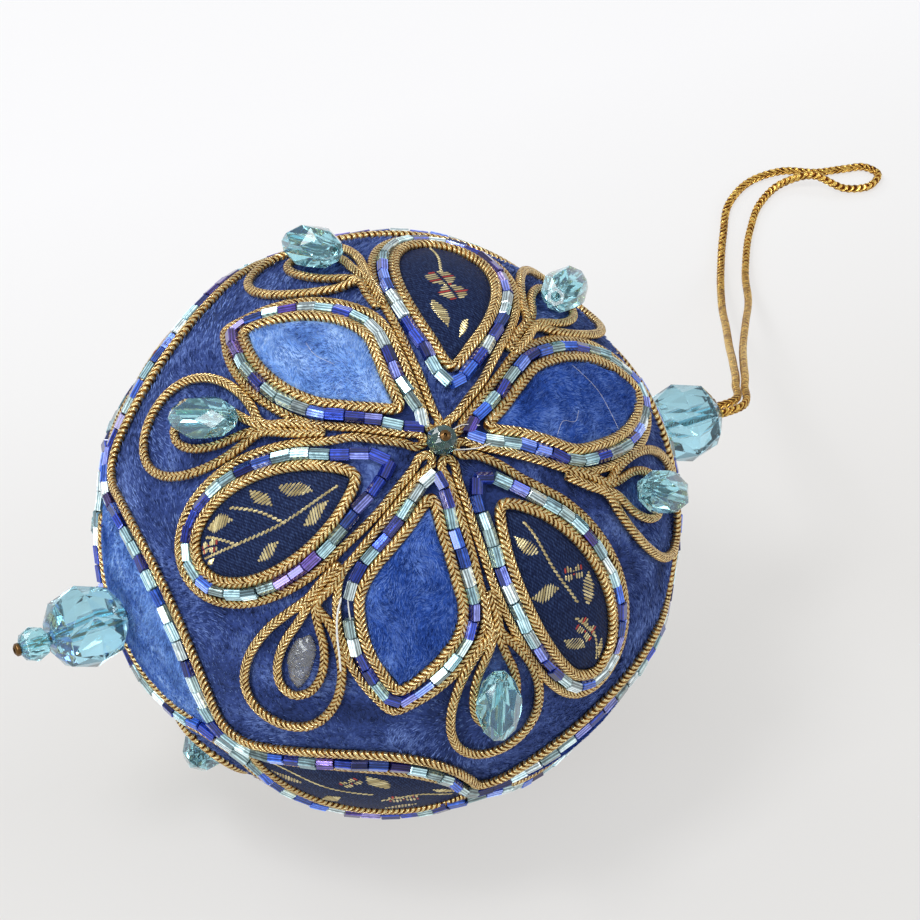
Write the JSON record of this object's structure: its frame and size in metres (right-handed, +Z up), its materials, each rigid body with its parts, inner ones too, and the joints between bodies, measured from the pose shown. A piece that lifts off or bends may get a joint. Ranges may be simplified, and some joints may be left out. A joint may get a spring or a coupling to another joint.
{
  "type": "beaded embroidered ball ornament",
  "caption": "Velvet-covered ball with corded and beaded petal flowers on two sides, a girdle of pointed panels, glass beads at both ends and a gold hanging loop.",
  "frame": {"origin": "on the surface that the ball rests on, right below the ball's centre", "axes": "+X along the bead axis, from the finial bead to the hanging bead; +Z up; the front flower faces -Y and up"},
  "size_m": [0.1625, 0.1187, 0.0765],
  "materials": {
    "navy_velvet": "short pile",
    "sky_felt": "felt",
    "blue_felt": "felt",
    "brocade": "satin twill with gold thread",
    "gold_cord": "braided metallic thread",
    "glass_rows": "polished",
    "aqua_glass": "polished",
    "smoke_glass": "polished"
  },
  "bodies": {
    "root": {"border_beads_back": "glass_rows", "border_beads_front": "glass_rows", "border_cord_back": "gold_cord", "border_cord_front": "gold_cord", "centre_bead_back": "smoke_glass", "centre_bead_front": "smoke_glass", "finial_bead": "aqua_glass", "finial_tip_bead": "aqua_glass", "girdle_panel_1": "brocade", "girdle_panel_2": "blue_felt", "girdle_panel_3": "brocade", "girdle_panel_4": "sky_felt", "girdle_panel_5": "brocade", "girdle_panel_6": "blue_felt", "gold_loops_back": "gold_cord", "gold_loops_front": "gold_cord", "hanging_bead": "aqua_glass", "hanging_cord": "gold_cord", "oval_bead_back_1": "aqua_glass", "oval_bead_back_3": "aqua_glass", "oval_bead_back_4": "aqua_glass", "oval_bead_back_5": "aqua_glass", "oval_bead_back_6": "aqua_glass", "oval_bead_front_1": "aqua_glass", "oval_bead_front_2": "aqua_glass", "oval_bead_front_3": "aqua_glass", "oval_bead_front_5": "aqua_glass", "oval_bead_front_6": "aqua_glass", "petal_beads_back_1": "glass_rows", "petal_beads_back_2": "glass_rows", "petal_beads_back_3": "glass_rows", "petal_beads_back_4": "glass_rows", "petal_beads_back_5": "glass_rows", "petal_beads_back_6": "glass_rows", "petal_beads_front_1": "glass_rows", "petal_beads_front_2": "glass_rows", "petal_beads_front_3": "glass_rows", "petal_beads_front_4": "glass_rows", "petal_beads_front_5": "glass_rows", "petal_beads_front_6": "glass_rows", "petal_cord_front_1": "gold_cord", "petal_cord_front_2": "gold_cord", "petal_cord_front_3": "gold_cord", "petal_cord_front_4": "gold_cord", "petal_cord_front_5": "gold_cord", "petal_cord_front_6": "gold_cord", "petal_panel_back_1": "blue_felt", "petal_panel_back_2": "brocade", "petal_panel_back_3": "sky_felt", "petal_panel_back_4": "brocade", "petal_panel_back_5": "blue_felt", "petal_panel_back_6": "brocade", "petal_panel_front_1": "blue_felt", "petal_panel_front_2": "brocade", "petal_panel_front_3": "sky_felt", "petal_panel_front_4": "brocade", "petal_panel_front_5": "blue_felt", "petal_panel_front_6": "brocade", "velvet_ball": "navy_velvet"}
  },
  "joints": []
}
